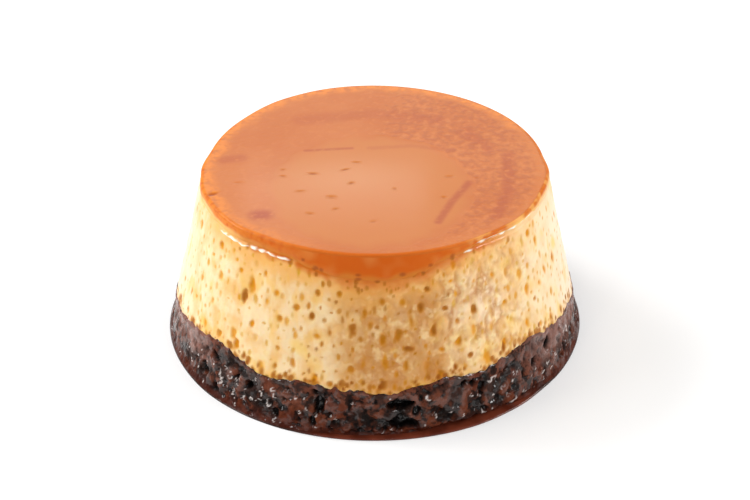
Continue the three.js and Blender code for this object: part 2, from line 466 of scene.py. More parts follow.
def sponge_material():
    crumb = Shader("sponge")
    patches = crumb.noise(3, detail=5)
    reds = crumb.noise(5, detail=3)
    relief = crumb.noise(2.0, detail=2.5)
    wet = crumb.noise(2.6, detail=2)
    streaks = crumb.noise(2.0, detail=3, place=crumb.stretched(0.2))
    pore_shade = crumb.noise(2.2, detail=3, roughness=0.6)
    bare = crumb.painted("bare")
    base = crumb.blend(patches.rising(0.42, 0.58), colour(30, 10, 3), colour(100, 48, 26))
    # A lighter mauve-grey on the flanks and, faintly, the upper part is a painted sheen.
    base = crumb.blend(bare * (0.5 + 0.7 * streaks).clamped(), base, colour(142, 103, 92))
    base = crumb.blend(reds.rising(0.54, 0.64) * (0.6 - 0.4 * bare), base, colour(92, 36, 14))
    # Near-black pores: painted shade, standing for the dark inside small holes.
    base = crumb.blend(pore_shade.rising(0.52, 0.62) * (0.9 - 0.5 * bare), base, colour(16, 7, 4))
    # The soaked colour is the syrup's own; the hollows are painted shade and the curls painted
    # highlights.
    base = crumb.stained(base, soaked=(76, 25, 8), hollow=(7, 3, 2), shine=(228, 216, 210))
    gloss = 0.05 + 0.7 * wet.rising(0.47, 0.54) * (1 - 0.6 * crumb.painted("soaked"))
    crumb.set(
        Base_Color=base,
        Roughness=0.6,
        Specular_IOR_Level=0.08,
        Coat_Weight=gloss,
        Coat_Roughness=0.08,
        Coat_IOR=1.5,
        Normal=crumb.bump(relief, 1.2),
    )
    return crumb.material


def syrup_material():
    film = Shader("syrup")
    broad = film.noise(5, detail=3)
    base = film.blend(broad.rising(0.35, 0.65), colour(88, 35, 20), colour(116, 53, 34))
    base = film.stained(base, crumbly=(50, 24, 16))
    film.set(
        Base_Color=base,
        Roughness=0.3,
        Specular_IOR_Level=0.1,
        Coat_Weight=0.6,
        Coat_Roughness=0.08,
        Coat_IOR=1.36,
        Normal=film.bump(film.noise(3, detail=1), 0.1),
    )
    return film.material


# --- Custard --------------------------------------------------------------------------------------

CUSTARD_COLUMNS = 820
# Rows up the side: how many below and above the share of the height from which they lie closer
CUSTARD_ROWS = (72, 28)
CLOSER_FROM = 0.88
CUSTARD_RING = 0.94    # where its flat ends have their outer ring, as a share of the radius
# How far the custard reaches in under the caramel and behind the sponge's border
OVERLAP = 0.9
# How high its flat ends lie, inside the sponge and the caramel
CUSTARD_FLOOR = 10.4
CUSTARD_CEILING = HEIGHT - 1.6
# Where its skin is torn: (middle, reach, strength)
TORN_PATCHES = [(8, 34, 0.75), (34, 26, 0.9), (150, 40, 0.6)]
# Scattered bubble pits, the larger kinds first: how many, from what width to what width, and how
# strongly they crowd towards the sponge. The front ones are brown and keep near the front.
FRONT_PITS = (36, 1.2, 2.0, 1.3)
LARGE_PITS = (150, 1.3, 2.3, 1.6)
MIDDLE_PITS = (230, 0.9, 1.3, 1.15)
SMALL_PITS = (620, 0.55, 1.0, 1.15)
FRONT_MIDDLE, FRONT_SPREAD = 0, 15
WIDE_PIT = 1.35            # pits wider than this have a yellow halo
PIT_MARGINS = (0.8, 1.0)   # how far pits keep above the sponge and below the caramel
PLACES_DRAWN = 4           # the roomiest of this many is taken
PIT_REACH = 2.6            # how far a pit's stain goes round the side, in half widths
PIT_SEED = 11
# Dark rusty specks: how many of them lie just under the caramel, and just over the sponge
HIGH_SPECKS = 24
LOW_SPECKS = 330
SPECK_MIDDLE, SPECK_SPREAD = 4, 22   # of the ones under the caramel
# The largest specks lie round the lower edge of the caramel's tongue
TONGUE_SPECKS = 13
TONGUE_MIDDLE, TONGUE_SPREAD = 4, 14
TONGUE_SPECK_DEPTH = 0.12
TONGUE_SPECK_TINTS = (0.0, 0.6, 0.7)
TONGUE_SEED = 4


def side_heights(angle):
    """The heights at which the custard's own surface starts and ends at an angle."""
    here = np.array([angle])
    return around(SPONGE_EDGE, here)[0], around(CARAMEL_EDGE, here)[0]


def roomy_place(draw, taken, crowding, at_front):
    """The angle and height with the most room round it, of a few that are drawn."""
    choices = []
    for _ in range(PLACES_DRAWN):
        angle = draw.normal(FRONT_MIDDLE, FRONT_SPREAD) if at_front else draw.uniform(-180, 180)
        low, high = side_heights(angle)
        height = low + PIT_MARGINS[0] + (high - low - sum(PIT_MARGINS)) * draw.random() ** crowding
        place = (math.radians(angle) * FOOT_RADIUS, height)
        room = min((math.dist(place, other) for other in taken), default=0)
        choices.append((room, angle, height, place))
    _, angle, height, place = max(choices)
    taken.append(place)
    return angle, height


def tints_of(kind, angle, draw):
    """How olive, amber and rusty a pit is: browner at the front, where the custard is soaked."""
    front = near(angle, 1, 34)
    if kind is FRONT_PITS:
        return 0.0, 0.9, draw.uniform(0.3, 0.85)
    if kind is LARGE_PITS:
        tone = draw.uniform(0.3, 1.2) + draw.uniform(0.3, 0.9) * front
        return max(0, 0.8 - tone), min(1.0, 0.5 + 0.6 * tone), 0.9 * max(0, tone - 0.9)
    if front > 0.3:
        return draw.uniform(0.1, 0.5), draw.uniform(0.2, 0.9), draw.uniform(0.2, 0.7)
    return draw.uniform(0.3, 0.9), 0.7 * draw.random() ** 2, 0.0


def bubble_pits(draw):
    """The scattered bubble pits, with the fields that pit_list names."""
    taken = []
    for kind in (FRONT_PITS, LARGE_PITS, MIDDLE_PITS, SMALL_PITS):
        count, narrow, wide, crowding = kind
        large = kind in (FRONT_PITS, LARGE_PITS)
        for _ in range(count):
            angle, height = roomy_place(draw, taken, crowding, kind is FRONT_PITS)
            width = narrow + (wide - narrow) * draw.random() ** (1.6 if large else 1.0)
            width = width * (1 - 0.35 * smooth(52, 80, abs(angle - 2)))
            length = width * draw.uniform(0.7, 1.9)
            depth = (0.17 if large else 0.1) * width
            yield angle, height, width, length, depth, *tints_of(kind, angle, draw)


def speck(angle, height, width, rust):
    """A dark speck, as a shallow pit with the fields that pit_list names."""
    return angle, height, width, width * 1.2, 0.15 * width, 0.2, 0.6, rust


def high_specks(draw):
    """The specks just under the caramel, which keep near the front."""
    for _ in range(HIGH_SPECKS):
        angle = draw.normal(SPECK_MIDDLE, SPECK_SPREAD)
        height = side_heights(angle)[1] + 0.2 - 2.2 * draw.random()
        yield speck(angle, height, draw.uniform(0.5, 1.2), draw.uniform(0.3, 0.7))


def low_specks(draw):
    """The specks just over the sponge, all the way round."""
    for _ in range(LOW_SPECKS):
        angle = draw.uniform(-180, 180)
        height = side_heights(angle)[0] + 0.1 + 2.0 * draw.random() ** 2
        yield speck(angle, height, draw.uniform(0.5, 1.6), draw.uniform(0.4, 1.0))


def tongue_specks():
    """The largest specks, some on the caramel and some below it: (angle, height, width, length)."""
    draw = np.random.default_rng(TONGUE_SEED)
    specks = []
    for _ in range(TONGUE_SPECKS):
        angle = draw.normal(TONGUE_MIDDLE, TONGUE_SPREAD)
        height = side_heights(angle)[1] + draw.uniform(-0.5, 1.6)
        width = draw.uniform(0.8, 1.4)
        specks.append((angle, height, width, width * draw.uniform(0.5, 1.2)))
    return specks


def pit_list():
    """Every pit: (angle, height, width, length, depth, how olive, how amber, how rusty)."""
    draw = np.random.default_rng(PIT_SEED)
    pits = [*bubble_pits(draw), *high_specks(draw), *low_specks(draw)]
    return pits + [(*place, TONGUE_SPECK_DEPTH, *TONGUE_SPECK_TINTS) for place in tongue_specks()]


def pits_on(angles, heights, on_side, wobble):
    """How deep the pits are at each place, how strong their yellow halo is, and their tints."""
    dip = np.zeros(len(angles))
    halo = np.zeros(len(angles))
    tints = {name: np.zeros(len(angles)) for name in ("olive", "amber", "rust")}
    for angle, height, width, length, depth, *strengths in pit_list():
        aside = sideways(angles, angle, width / 2)
        close = np.flatnonzero(on_side & (np.abs(aside) < PIT_REACH))
        reach = np.hypot(aside[close], (heights[close] - height) / (length / 2))
        reach = reach + 0.9 * wobble[close]
        raise_to(dip, close, depth * (1 - smooth(0.2, 1.15, reach)))
        if width > WIDE_PIT:
            raise_to(halo, close, 0.3 * (1 - smooth(0.6, 2.5, reach)))
        inside = 1 - smooth(0.35, 1.3, reach)
        for tint, strength in zip(tints.values(), strengths):
            raise_to(tint, close, strength * inside)
    return dip, halo, tints


# How tall the sloping ledge of custard under the caramel is: (angle, height)
LEDGE_HEIGHTS = [
    (-135, 0.3), (-85, 0.1), (-62, 0.1), (-55, 0.25), (-46, 0.4), (-40, 0.4), (-35, 0.45),
    (-30, 0.35), (-26, 0.2), (-21, 0.1), (-16, 0.05), (26, 0.05), (34, 0.3), (60, 0.3), (80, 0.1),
    (130, 0.3),
]
# The ledge leans back so far that it mirrors the side windows to a viewer in front
VIEW_ELEVATION = 32
WINDOW_ELEVATION = 35
STEEPEST_NORMAL = 60
GREATEST_LEAN = 1.0
# Raised beads strung under the rim, with painted highlights: (first angle, last angle, height)
BEAD_STRINGS = [(-56, -28, 35.95), (29, 31, 37.1), (34, 59, 38.25)]
BEAD_HALF_WIDTHS = (1.3, 2.6)    # in degrees
BEAD_HALF_HEIGHTS = (0.14, 0.4)
BEAD_SHIFTS = (-0.12, 0.12)      # how far a bead lies below or above its string
BEAD_GAPS = (-0.4, 0.6)          # in degrees
BEAD_SEED = 6


def ledge_lean(angles):
    """How far the ledge lies back for each millimetre up: its normal halves the way to a window."""
    ahead = np.cos(np.radians(angles)) * math.cos(math.radians(VIEW_ELEVATION))
    above = math.sin(math.radians(VIEW_ELEVATION))
    share = np.minimum(1, math.sin(math.radians(WINDOW_ELEVATION)) / np.hypot(ahead, above))
    rise = (np.arctan2(above, ahead) + np.arcsin(share)) / 2
    mould_lean = (FOOT_RADIUS - TOP_RADIUS) / HEIGHT
    rise = np.minimum(rise, math.radians(STEEPEST_NORMAL))
    return np.clip(np.tan(rise) - mould_lean, 0, GREATEST_LEAN)


def bead_list():
    """Every bead: (angle, height, half width in degrees, half height)."""
    draw = np.random.default_rng(BEAD_SEED)
    found = []
    for first, last, height in BEAD_STRINGS:
        angle = first
        while angle < last:
            half_width = draw.uniform(*BEAD_HALF_WIDTHS)
            half_height = draw.uniform(*BEAD_HALF_HEIGHTS)
            middle = height + draw.uniform(*BEAD_SHIFTS)
            found.append((angle + half_width, middle, half_width, half_height))
            angle += 2 * half_width + draw.uniform(*BEAD_GAPS)
    return found


def beads(angles, heights):
    """1 on the beads under the rim, where a highlight is painted, and 0 away from them."""
    found = np.zeros(len(angles))
    for angle, height, half_width, half_height in bead_list():
        reach = np.hypot(turn_between(angles, angle) / half_width, (heights - height) / half_height)
        found = np.maximum(found, 1 - smooth(0.5, 1.25, reach))
    return found


def make_custard():
    side_rows = spread(0, CLOSER_FROM, CUSTARD_ROWS[0])[:-1]
    side_rows += spread(CLOSER_FROM, 1, CUSTARD_ROWS[1])
    form = turned(drum(side_rows, CUSTARD_RING), CUSTARD_COLUMNS)
    mesh = finished("custard_body", form, custard_material(), "custard")
    angles, across, up = polar(coordinates(mesh))
    edge = around(CARAMEL_EDGE, angles)
    sponge_edge = around(SPONGE_EDGE, angles)
    bend = smooth(HALF_WAY, 1, across)
    low = CUSTARD_FLOOR + (sponge_edge - OVERLAP - CUSTARD_FLOOR) * bend
    high = CUSTARD_CEILING + (edge + OVERLAP - CUSTARD_CEILING) * bend
    heights = low + (high - low) * up
    radii = mould_radius(angles, heights) - CARAMEL_PROUD
    on_side = across > ON_SIDE
    side = side_places(angles, radii, heights)[on_side]

    def lumps(size, seed):
        """Soft noise on the side only, and 0 on the rest."""
        return only_on(on_side, grain(side, size, seed))

    torn = in_patches(angles[on_side], TORN_PATCHES) + 0.3 * grain(side, 14, 3)
    torn = only_on(on_side, np.clip(torn, 0, 1))
    flakes = only_on(on_side, billows(side * (1, 1, 0.8), 3.4, 1))
    swell = 0.22 * lumps(14, 1) + 0.12 * lumps(5, 2)
    tears = torn * (0.7 * (np.minimum(flakes, 0.7) - 0.4) + 0.14 * lumps(1.3, 4))
    wobble = 0.75 * lumps(1.9, 31) + 0.35 * lumps(0.9, 32)
    dip, halo, tints = pits_on(angles, heights, on_side, wobble)

    # Both borders waver a little, and close to them the surface is calmer.
    from_edge = heights - edge + (0.3 * lumps(4.5, 12) + 0.1 * lumps(1.6, 13))
    from_sponge = heights - sponge_edge + (0.5 * lumps(1.9, 17) + 0.3 * lumps(0.9, 18))
    calm = smooth(0.3, 2.5, from_sponge) * (1 - 0.7 * smooth(-2.5, -0.8, from_edge))
    ledge = around(LEDGE_HEIGHTS, angles) * (1 + 0.5 * lumps(5, 14))
    chamfer = ledge_lean(angles) * np.clip(from_edge + ledge, 0, ledge + 0.1)
    bulge = 0.15 * ledge * smooth(-3.5, -1.0, from_edge)
    tuck = 0.5 * smooth(0.45, 1.3, from_edge) + 0.5 * (1 - smooth(-0.7, 0.1, from_sponge))
    highlit_beads = beads(angles, heights + 0.3 * lumps(1.1, 16)) * on_side
    moved = radii + (swell + tears - dip) * calm + bulge - chamfer - tuck + 0.12 * highlit_beads
    moved = np.where(on_side, moved, across * moved)
    place_vertices(mesh, side_places(angles, moved, heights))

    # Painted shade in the creases between the torn flakes.
    crease = torn * (1 - smooth(0.08, 0.5, flakes)) * (0.6 + 0.5 * lumps(6, 15))
    paint(mesh, "crease", np.clip(crease, 0, 0.85) * calm)
    paint(mesh, "torn", torn * calm)
    for name, tint in tints.items():
        paint(mesh, name, tint)
    # The front is painted brown: partly real soaking under the caramel's tongue, partly painted shade
    # between the side lights.
    patchy = only_on(on_side, grain(side * (1, 1, 0.6), 5, 5))
    fading = 1 - 0.35 * np.exp(-((heights - 24) / 3.5) ** 2)
    tan = 1.05 * stretch(angles, -3, 15, 13) * fading
    tan = tan + 0.6 * near(angles, 16, 18) * smooth(26, 33, heights)
    tan = np.clip(tan + 0.3 * patchy * stretch(angles, 16, 34, 12), 0, 1)
    paint(mesh, "tan", tan)
    stains = np.clip(2.2 * (lumps(5, 6) - 0.36), 0, 1)
    paint(mesh, "yellow", np.maximum(halo * (1 - tan), stains))
    # The flanks that face the side lights are painted paler, as painted light; the torn face gets a
    # paler patch.
    torn_face = np.exp(-(turn_between(angles, 34) / 10) ** 2 - ((heights - 25.5) / 5) ** 2)
    pale = 0.85 * (near(angles, -98, 46) + near(angles, 90, 50)) + 0.55 * torn_face
    paint(mesh, "pale", np.clip(pale, 0, 0.85))

    # Caramel has soaked into the custard below its edge, furthest at the front.
    stain = 0.7 * lumps(3, 7) + 0.4 * lumps(1.2, 8)
    run = 1.0 + 1.8 * near(angles, 6, 32)
    soaked = smooth(-1.3, 0.5, (heights - edge + 1.4 * stain) / run)
    paint(mesh, "soaked", soaked * on_side * stretch(angles, -34, 30, 24))
    warm = 0.25 + 0.75 * stretch(angles, -50, 30, 24)
    golden = 0.8 * smooth(-7.5, -0.3, heights - edge + 2.4 * stain) * warm
    low_stain = 0.3 * (1 - smooth(0.1, 1.7, from_sponge + 1.6 * stain))
    paint(mesh, "golden", np.maximum(golden, low_stain) * on_side)
    # A painted highlight on the beads, near white.
    paint(mesh, "bead", 0.95 * highlit_beads)
    dry = np.maximum(tints["rust"], tints["amber"])
    paint(mesh, "wet", np.clip(0.1 + 0.35 * torn * (1 - dry) + highlit_beads, 0, 1))


# --- Caramel --------------------------------------------------------------------------------------

CARAMEL_COLUMNS = 640
CARAMEL_RING = 0.9
OUTERMOST = 0.999      # past this share of the radius are only the wall and the rim
# Rows up the caramel's wall and round its rim, and rings across its top
WALL_ROWS, RIM_ROWS, TOP_RINGS = 26, 6, 110
# A row's second number says which stretch it is on. It is 0 under the caramel, runs up the wall and
# on round the rim from these starts, each over its span, and is the last one on top.
WALL_START, WALL_SPAN = 0.01, 0.5
RIM_START, RIM_SPAN = 0.51, 0.2
TOP_NUMBER = 0.9
# Numbers that lie between those of under and wall, wall and rim, and rim and top
WALL_FROM, RIM_FROM, TOP_FROM = 0.005, 0.52, 0.8
# The underside: how high it lies in the middle, how far above the caramel's edge it starts, and how
# thick it leaves the wall
UNDERSIDE = HEIGHT - 1.9
UNDERSIDE_RISE = 0.5
WALL_THICKNESS = 0.9
# Small dents scattered over the pool: how many, round which place, how widely, and their sizes
DENT_COUNT = 16
DENT_MIDDLE = (-3, -10)
DENT_SPREAD = (13, 8)
DENT_LENGTHS = (0.8, 2.4)
DENT_TURNS = (-15, 25)
DENT_DEPTHS = (0.08, 0.16)
# How much shade is painted into a dent
DENT_TONES = (0.1, 0.6)
DENT_SEED = 5
# One nick in the rim at the left: (x, y, length, width, turn, depth, how much shade is painted in it)
RIM_NICK = (-34, -12.5, 2.8, 1.1, 30, 0.3, 0.9)
# Darker strokes in the top, each a run of (x, y) points, its width and its strength
MARKS = [
    ([(-24, -21), (-23, -21)], 5.2, 1.0),
    ([(-15, 6), (-5, 7)], 1.3, 0.7),
    ([(-1, 7), (8, 8), (17, 6)], 2.0, 0.3),
    ([(20, -8), (16, -16), (13, -24)], 2.2, 0.8),
    ([(29, 4), (28, -12), (25, -22)], 3.6, 0.55),
    ([(-33, 2), (-29, 3)], 4.0, 0.5),
    ([(20, 14), (25, 6)], 5.0, 0.35),
    ([(-16, 20), (0, 23), (14, 20)], 6.0, 0.35),
]
# The smooth oval pool in the middle of the top; round it the glaze is grainy
POOL_MIDDLE = (-1, -11)
POOL_HALVES = (20, 22)
# Where a lighter sheen is painted in the pool, as a painted reflection
SHEEN_MIDDLE = (-6, -5)
SHEEN_HALVES = (13, 8)
# The groove along the caramel at the right, under which its beads lie: (first angle, last angle,
# fade), where it starts and how tall it is
GROOVE = (35, 58, 6)
GROOVE_TOP = 38.5
GROOVE_HEIGHT = 0.55


def caramel_rows():
    """The rows under the caramel, up its wall, round its rim and across its top to the middle."""
    rows = [(0, 0), (HALF_WAY, 0), (CARAMEL_RING, 0)]
    rows += [(1, WALL_START + WALL_SPAN * up) for up in spread(0, 1, WALL_ROWS)]
    rows += [(1, RIM_START + RIM_SPAN * up) for up in spread(1 / RIM_ROWS, 1, RIM_ROWS - 1)]
    return rows + [(1 - ring / TOP_RINGS, TOP_NUMBER) for ring in range(1, TOP_RINGS + 1)]


def dent_list():
    """Every dent: (x, y, length, width, turn, depth, how much shade is painted in it)."""
    draw = np.random.default_rng(DENT_SEED)
    dents = [RIM_NICK]
    for _ in range(DENT_COUNT):
        x, y = draw.normal(DENT_MIDDLE, DENT_SPREAD)
        length = draw.uniform(*DENT_LENGTHS)
        width = 0.5 + 0.3 * length * draw.random()
        rest = [draw.uniform(*limits) for limits in (DENT_TURNS, DENT_DEPTHS, DENT_TONES)]
        dents.append((x, y, length, width, *rest))
    return dents


def dented(places, heights, on_top):
    """The heights with the dents pressed into the top, and the shade painted in them at each place.
    """
    blots = np.zeros(len(places))
    for x, y, length, width, turn, depth, dark in dent_list():
        along, aside = math.cos(math.radians(turn)), math.sin(math.radians(turn))
        away = places[:, :2] - (x, y)
        reach = np.hypot(
            (away[:, 0] * along + away[:, 1] * aside) / (length / 2),
            (away[:, 1] * along - away[:, 0] * aside) / (width / 2),
        )
        heights = heights - depth * ((1 - smooth(0, 1.5, reach)) * on_top)
        blots = np.maximum(blots, dark * (1 - smooth(0.2, 1.2, reach)) * on_top)
    return heights, blots


def distance_to_run(places, run):
    """How far each (x, y) place is from a run of straight pieces."""
    nearest = np.hypot(*(places - run[0]).T)
    for start, end in zip(run, run[1:]):
        start, along = np.array(start), np.subtract(end, start)
        share = np.clip((places - start) @ along / (along @ along), 0, 1)
        nearest = np.minimum(nearest, np.hypot(*(places - start - share[:, None] * along).T))
    return nearest


def marks_on(places):
    """How strong the darker strokes are at each place."""
    marks = np.zeros(len(places))
    for run, width, strength in MARKS:
        gap = distance_to_run(places[:, :2], np.array(run)) / width
        marks = np.maximum(marks, strength * (1 - smooth(0.1, 0.62, gap)))
    return marks


def make_caramel():
    form = turned(caramel_rows(), CARAMEL_COLUMNS)
    mesh = finished("caramel_glaze", form, caramel_material(), "caramel_top")
    angles, across, up = polar(coordinates(mesh))
    outside = across > OUTERMOST
    on_wall = outside & (up < RIM_FROM)
    on_rim = outside & (up > RIM_FROM)
    on_top = up > TOP_FROM
    under = up < WALL_FROM
    share = np.clip((up - WALL_START) / WALL_SPAN, 0, 1)
    turn = np.clip((up - RIM_START) / RIM_SPAN, 0, 1) * math.pi / 2

    edge = around(CARAMEL_EDGE, angles)
    shoulder = HEIGHT - RIM_ROUNDING
    bend = 1 - smooth(HALF_WAY, 1, across)
    heights = np.where(on_wall, edge + (shoulder - edge) * share, shoulder)
    heights = np.where(on_rim, shoulder + RIM_ROUNDING * np.sin(turn), heights)
    heights = np.where(on_top, HEIGHT, heights)
    hidden = edge + UNDERSIDE_RISE + (UNDERSIDE - edge - UNDERSIDE_RISE) * bend
    heights = np.where(under, hidden, heights)

    radii = mould_radius(angles, np.minimum(heights, shoulder))
    from_edge = heights - edge
    lean = ledge_lean(angles)
    lying_back = 0.8 * lean * around(LEDGE_HEIGHTS, angles) * (1 - smooth(0.1, 1, share))
    groove = stretch(angles, *GROOVE) * lean * np.clip(GROOVE_TOP - heights, 0, GROOVE_HEIGHT)
    lying_back = lying_back + groove
    lip = 0.28 * (1 - smooth(0, 1.6, from_edge)) + 0.4 * (1 - smooth(0, 0.15, from_edge))
    inward = RIM_ROUNDING * (1 - np.cos(turn))
    outer = np.where(on_rim, radii - inward, radii - lying_back - lip)
    moved = np.where(on_wall | on_rim, outer, across * (radii - RIM_ROUNDING))
    moved = np.where(under, across * (radii - WALL_THICKNESS), moved)
    places = side_places(angles, moved, heights)
    heights, blots = dented(places, heights, on_top)
    place_vertices(mesh, side_places(angles, moved, heights))

    lumps = grain(places, 3, 41)
    from_middle = np.hypot(*((places[:, :2] - POOL_MIDDLE) / POOL_HALVES).T)
    pool = smooth(-2.5, 1.5, POOL_HALVES[0] * (1 - from_middle) + lumps)
    grainy = smooth(0.3, 0, pool) * (0.35 + 0.65 * stretch(angles, 40, 160, 40))
    paint(mesh, "grainy", np.where(on_top, grainy, 0.2))
    paint(mesh, "pool", 0.8 * pool * on_top)
    # A painted sheen in the pool, standing for a reflection.
    from_sheen_middle = (places[:, :2] - SHEEN_MIDDLE) / SHEEN_HALVES
    paint(mesh, "centre", 0.9 * np.exp(-(from_sheen_middle ** 2).sum(axis=1)) * on_top)
    away_from_front = (1 - near(angles, 0, 75)) * (1 - 0.6 * stretch(angles, 35, 110, 12))
    margin = smooth(-3.6, -0.6, moved - radii + RIM_ROUNDING + 1.2 * lumps) * away_from_front
    paint(mesh, "margin", np.where(on_top, margin, away_from_front))
    paint(mesh, "side", np.where(on_wall, 1.0, 0.5 * on_rim))
    golden = stretch(angles, 62, 302, 24) * (1 - smooth(0.9, 2.0, from_edge - 0.6 * lumps))
    below_groove = 1 - smooth(-1.6, -0.3, heights - GROOVE_TOP)
    golden = golden + 0.8 * stretch(angles, 34, 70, 6) * below_groove
    ticks = smooth(-0.1, 0.25, grain(places, 1.8, 44)) * stretch(angles, 36, 110, 8)
    golden = golden + 0.25 * lumps * on_wall + 0.5 * ticks
    paint(mesh, "golden", np.clip(golden, 0, 1) * (on_wall | on_rim))
    thin = 1 - smooth(0.2, 1.8, from_edge + 1.2 * lumps)
    paint(mesh, "thin", thin * on_wall)
    # A painted highlight on the beads, which are also glossier.
    highlit_beads = beads(angles, heights) * on_wall
    paint(mesh, "bead", highlit_beads)
    paint(mesh, "gloss", np.where(on_top, 1.0, np.maximum(0.12, highlit_beads)))
    paint(mesh, "marks", marks_on(places) * (on_top | on_rim))
    # Real dark specks at the caramel's tongue, laid in with the painted shade of the dents.
    for angle, height, width, length in tongue_specks():
        aside = sideways(angles, angle, width / 2, TOP_RADIUS)
        reach = np.hypot(aside, (heights - height) / (length / 2))
        blots = np.maximum(blots, 0.75 * (1 - smooth(0.3, 1.4, reach)) * on_wall)
    paint(mesh, "blots", blots)


# --- Sponge ---------------------------------------------------------------------------------------

SPONGE_COLUMNS = 1000
SPONGE_ROWS = 56
SPONGE_RING = 0.9
SPONGE_MIDDLE = 10.2   # how high it stands in the middle, inside the custard
SPONGE_LIP = 0.35      # how far its crumbs stand up past the border
CORE_INSET = 1.6       # how far inside the mould's surface its flat ends stop
SKIN_DEPTH = 0.06      # how far its crumbs keep inside the mould's surface
PRESSING = 2.5         # how flat the mould has pressed its swellings
# Where the sponge is smoother and painted with a lighter sheen: (middle, reach, strength)
SHEEN_FLANKS = [(-82, 46, 1.0), (79, 50, 1.0), (180, 60, 0.35)]
# Deep holes torn in the sponge: (angle, height, width, length up the side)
SPONGE_HOLES = [
    (-150, 5.2, 4.0, 3.0), (-118, 4.6, 3.2, 3.4), (-86, 4.4, 2.8, 2.4), (-54, 4.6, 3.2, 2.8),
    (-50, 9.0, 2.6, 2.4), (-37, 6.4, 2.6, 2.2), (-15, 6.6, 2.8, 4.4), (6.5, 7.4, 6.8, 2.4),
    (6.5, 3.3, 7.2, 2.6), (30, 7.4, 2.6, 2.2), (50, 7.1, 2.6, 2.2), (67, 5.0, 2.8, 2.4),
    (95, 5.0, 3.6, 2.8), (128, 5.2, 3.4, 3.2), (165, 5.8, 3.8, 3.0),
]
DEEPEST_HOLE = 2.2
HOLE_REACH = 1.3       # how far a hole goes round the side, in half widths
# Small hollows that are scattered round the sponge's surface
SMALL_HOLES = 130
SMALL_HOLE_SEED = 5
# How far the sponge stands back from its syrup at the foot: (angle, recess)
FOOT_RECESS = [
    (-150, 0), (-26, 0), (-10, 0.9), (10, 1.3), (20, 2.5), (27, 2.6), (36, 1.6), (46, 0.8),
    (60, 0), (150, 0),
]
# Curls of painted highlight on the wet crumbs: how many large and small ones, and their sizes. The
# large ones keep to the stretches round the front that face the windows: (middle, spread)
LARGE_CURLS = (45, 0.7, 1.8)
SMALL_CURLS = (130, 0.35, 0.95)
SHINY_STRETCHES = [(-32, 13), (-44, 10), (52, 14)]
CURL_REACH = 1.6       # how far a curl goes round the side, in half widths
CURL_RING = 0.72       # how far its bright line is from its middle, in half widths
CURL_SEED = 8


def curl_list():
    """Every curl: (angle, height, size, the way round that it opens)."""
    draw = np.random.default_rng(CURL_SEED)
    curls = []
    for (count, least, most), large in ((LARGE_CURLS, True), (SMALL_CURLS, False)):
        for number in range(count):
            angle = draw.uniform(-180, 180)
            if large:
                angle = draw.normal(*SHINY_STRETCHES[number % len(SHINY_STRETCHES)])
            size = least + (most - least) * draw.random() ** 2
            curls.append((angle, draw.uniform(0.8, 9.0), size, draw.uniform(0, 360)))
    return curls


def small_holes():
    """The scattered small hollows, with the fields of SPONGE_HOLES."""
    draw = np.random.default_rng(SMALL_HOLE_SEED)
    return [
        (draw.uniform(-180, 180), draw.uniform(1.0, 10.0), width, width * draw.uniform(0.6, 1.1))
        for width in 0.8 + 1.7 * draw.random(SMALL_HOLES) ** 2
    ]


def holes_on(angles, heights, on_side, ragged):
    """How deep the holes are at each place."""
    depths = np.zeros(len(angles))
    for angle, height, width, length in SPONGE_HOLES + small_holes():
        aside = sideways(angles, angle, width / 2)
        close = np.flatnonzero(on_side & (np.abs(aside) < HOLE_REACH))
        reach = np.hypot(aside[close], (heights[close] - height) / (length / 2)) + ragged[close]
        raise_to(depths, close, 0.6 * width * (1 - smooth(0.3, 1.15, reach)))
    return np.minimum(depths, DEEPEST_HOLE)


def shine_on(angles, heights, on_side, bent, holes):
    """How strongly the painted highlight lies at each place, in broken curls that keep out of the
    holes.
    """
    shine = np.zeros(len(angles))
    for angle, height, size, opening in curl_list():
        aside = sideways(angles, angle, size / 2)
        close = np.flatnonzero(on_side & (np.abs(aside) < CURL_REACH))
        rise = (heights[close] - height) / (size / 2)
        reach = np.hypot(aside[close], rise) + 0.6 * bent[close]
        turn = np.degrees(np.arctan2(rise, aside[close]))
        ring = 1 - smooth(0.06, 0.3, np.abs(reach - CURL_RING))
        arc = ring * smooth(60, 100, np.abs(turn_between(turn, opening)))
        raise_to(shine, close, arc * (1 - smooth(0.1, 0.5, holes[close])))
    return shine


